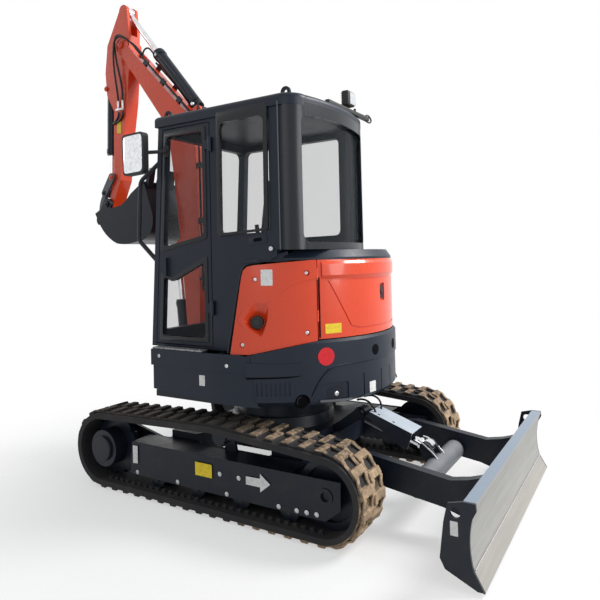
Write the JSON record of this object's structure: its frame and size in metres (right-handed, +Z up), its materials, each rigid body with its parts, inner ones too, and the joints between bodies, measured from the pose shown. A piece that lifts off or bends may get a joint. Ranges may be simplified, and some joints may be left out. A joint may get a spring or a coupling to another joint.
{
  "type": "mini excavator",
  "caption": "Tracked mini excavator with a closed cab, short-tail upper, swinging boom, arm, bucket and a dozer blade.",
  "frame": {"origin": "on the ground under the slew axis", "axes": "+X the way the boom points, +Y the cab's side, +Z up"},
  "size_m": [3.6459, 1.785, 3.842],
  "materials": {
    "track_rubber": "matt, dusty",
    "black_paint": "semi-gloss",
    "slate_paint": "semi-gloss, fine texture",
    "red_paint": "gloss",
    "rod_chrome": "polished",
    "tinted_glass": "tinted",
    "engine_iron": "painted",
    "black_plastic": "grained",
    "seat_fabric": "woven",
    "amber_plastic": "clear"
  },
  "bodies": {
    "undercarriage": {"car_body": "black_paint", "track_frame_left": "black_paint", "track_frame_right": "black_paint", "track_left": "track_rubber", "track_right": "track_rubber", "travel_drive_left": "black_paint", "travel_drive_right": "black_paint", "idler_left": "black_paint", "idler_right": "black_paint", "rollers_left": "black_paint", "rollers_right": "black_paint"},
    "blade": {"blade": "black_paint", "push_arms": "black_paint"},
    "blade_cylinder": {"blade_cylinder": "black_paint", "cylinder_cover": "slate_paint"},
    "blade_rod": {"blade_rod": "rod_chrome"},
    "upper": {"slew_frame": "black_paint", "counterweight": "slate_paint", "skirt_left": "slate_paint", "skirt_right": "slate_paint", "side_panel_left": "red_paint", "side_panel_right": "red_paint", "top_deck": "slate_paint", "right_cover": "red_paint", "engine": "engine_iron", "cab_frame": "slate_paint", "cab_roof": "slate_paint", "cab_glass": "tinted_glass", "handrail": "black_paint", "seat_base": "black_plastic", "seat": "seat_fabric", "controls": "black_plastic", "beacon": "amber_plastic"},
    "hood": {"rear_hood": "red_paint"},
    "door": {"door_frame": "slate_paint", "door_glass": "tinted_glass", "mirror": "black_plastic"},
    "swing_post": {"swing_post": "black_paint"},
    "swing_cylinder": {"swing_cylinder": "black_paint"},
    "swing_rod": {"swing_rod": "rod_chrome"},
    "boom": {"boom": "red_paint", "boom_pipes": "black_paint"},
    "boom_cylinder": {"boom_cylinder": "black_paint"},
    "boom_rod": {"boom_rod": "rod_chrome"},
    "arm": {"arm": "red_paint"},
    "arm_cylinder": {"arm_cylinder": "black_paint"},
    "arm_rod": {"arm_rod": "rod_chrome"},
    "bucket_cylinder": {"bucket_cylinder": "black_paint"},
    "bucket_rod": {"bucket_rod": "rod_chrome"},
    "idler_links": {"idler_links": "black_paint"},
    "bucket_link": {"bucket_link": "black_paint"},
    "bucket": {"bucket": "black_paint"}
  },
  "joints": [
    {"name": "slew", "type": "hinge", "parent": "undercarriage", "child": "upper", "pos_m": [0, 0, 0.604], "axis": [0, 0, 1], "continuous": true},
    {"name": "swing", "type": "hinge", "parent": "upper", "child": "swing_post", "pos_m": [0.7, -0.1, 0.77], "axis": [0, 0, 1], "range_deg": [-50, 60]},
    {"name": "boom", "type": "hinge", "parent": "swing_post", "child": "boom", "pos_m": [0.85, -0.1, 0.83], "axis": [0, 1, 0], "range_deg": [-3, 90]},
    {"name": "arm", "type": "hinge", "parent": "boom", "child": "arm", "pos_m": [1.657, -0.1, 3.466], "axis": [0, -1, 0], "range_deg": [-2, 92]},
    {"name": "bucket", "type": "hinge", "parent": "arm", "child": "bucket", "pos_m": [1.87, -0.1, 2.06], "axis": [0, -1, 0], "range_deg": [-4, 120]},
    {"name": "blade", "type": "hinge", "parent": "undercarriage", "child": "blade", "pos_m": [-0.56, 0, 0.29], "axis": [0, 1, 0], "range_deg": [-14, 18]},
    {"name": "door", "type": "hinge", "parent": "upper", "child": "door", "pos_m": [0.028, 0.732, 1.7], "axis": [0, 0, 1], "range_deg": [0, 120]},
    {"name": "hood", "type": "hinge", "parent": "upper", "child": "hood", "pos_m": [-0.60347, 0.51907, 1.29], "axis": [0, 0, -1], "range_deg": [0, 75]},
    {"name": "boom_cylinder_turn", "type": "hinge", "parent": "swing_post", "child": "boom_cylinder", "pos_m": [1.01, -0.1, 0.665], "axis": [0, 1, 0], "range_deg": [-3.93, 88.75]},
    {"name": "boom_rod_slide", "type": "slide", "parent": "boom_cylinder", "child": "boom_rod", "axis": [0.0896, 0, 0.996], "range_m": [-0.3308, 0.0149]},
    {"name": "arm_cylinder_turn", "type": "hinge", "parent": "boom", "child": "arm_cylinder", "pos_m": [0.81, -0.1, 2.76], "axis": [0, 1, 0], "range_deg": [-7.55, 1.14]},
    {"name": "arm_rod_slide", "type": "slide", "parent": "arm_cylinder", "child": "arm_rod", "axis": [0.6343, 0, 0.7731], "range_m": [-0.4609, 0.0139]},
    {"name": "bucket_cylinder_turn", "type": "hinge", "parent": "arm", "child": "bucket_cylinder", "pos_m": [1.885, -0.1, 3.119], "axis": [0, 1, 0], "range_deg": [-4.5, 1.12]},
    {"name": "bucket_rod_slide", "type": "slide", "parent": "bucket_cylinder", "child": "bucket_rod", "axis": [0.0262, 0, -0.9997], "range_m": [-0.2916, 0.0136]},
    {"name": "blade_cylinder_turn", "type": "hinge", "parent": "undercarriage", "child": "blade_cylinder", "pos_m": [-0.626, 0, 0.493], "axis": [0, 1, 0], "range_deg": [-15.04, 19.05]},
    {"name": "blade_rod_slide", "type": "slide", "parent": "blade_cylinder", "child": "blade_rod", "axis": [-0.9418, 0, -0.3362], "range_m": [-0.0702, 0.0555]},
    {"name": "swing_cylinder_turn", "type": "hinge", "parent": "upper", "child": "swing_cylinder", "pos_m": [0.1, -0.43, 0.77], "axis": [0, 0, 1], "range_deg": [-2.84, 3.21]},
    {"name": "swing_rod_slide", "type": "slide", "parent": "swing_cylinder", "child": "swing_rod", "axis": [0.9719, 0.2355, 0], "range_m": [-0.1413, 0.1688]},
    {"name": "idler_links_turn", "type": "hinge", "parent": "arm", "child": "idler_links", "pos_m": [1.815, -0.1, 2.3], "axis": [0, -1, 0], "range_deg": [-5, 121]},
    {"name": "bucket_link_turn", "type": "hinge", "parent": "idler_links", "child": "bucket_link", "pos_m": [1.91, -0.1, 2.165], "axis": [0, 1, 0], "range_deg": [-5, 121]}
  ],
  "couplings": [
    {"joint": "boom_cylinder_turn", "follows": "boom", "ratio": 0.975},
    {"joint": "boom_rod_slide", "follows": "boom", "m_per_rad": -0.208},
    {"joint": "arm_cylinder_turn", "follows": "arm", "ratio": -0.0712},
    {"joint": "arm_rod_slide", "follows": "arm", "m_per_rad": -0.2845},
    {"joint": "bucket_cylinder_turn", "follows": "bucket", "ratio": -0.0292},
    {"joint": "bucket_rod_slide", "follows": "bucket", "m_per_rad": -0.1373},
    {"joint": "blade_cylinder_turn", "follows": "blade", "ratio": 1.003},
    {"joint": "blade_rod_slide", "follows": "blade", "m_per_rad": -0.2108},
    {"joint": "swing_cylinder_turn", "follows": "swing", "ratio": 0.0369},
    {"joint": "swing_rod_slide", "follows": "swing", "m_per_rad": 0.1574},
    {"joint": "idler_links_turn", "follows": "bucket", "ratio": 1},
    {"joint": "bucket_link_turn", "follows": "bucket", "ratio": 1}
  ]
}
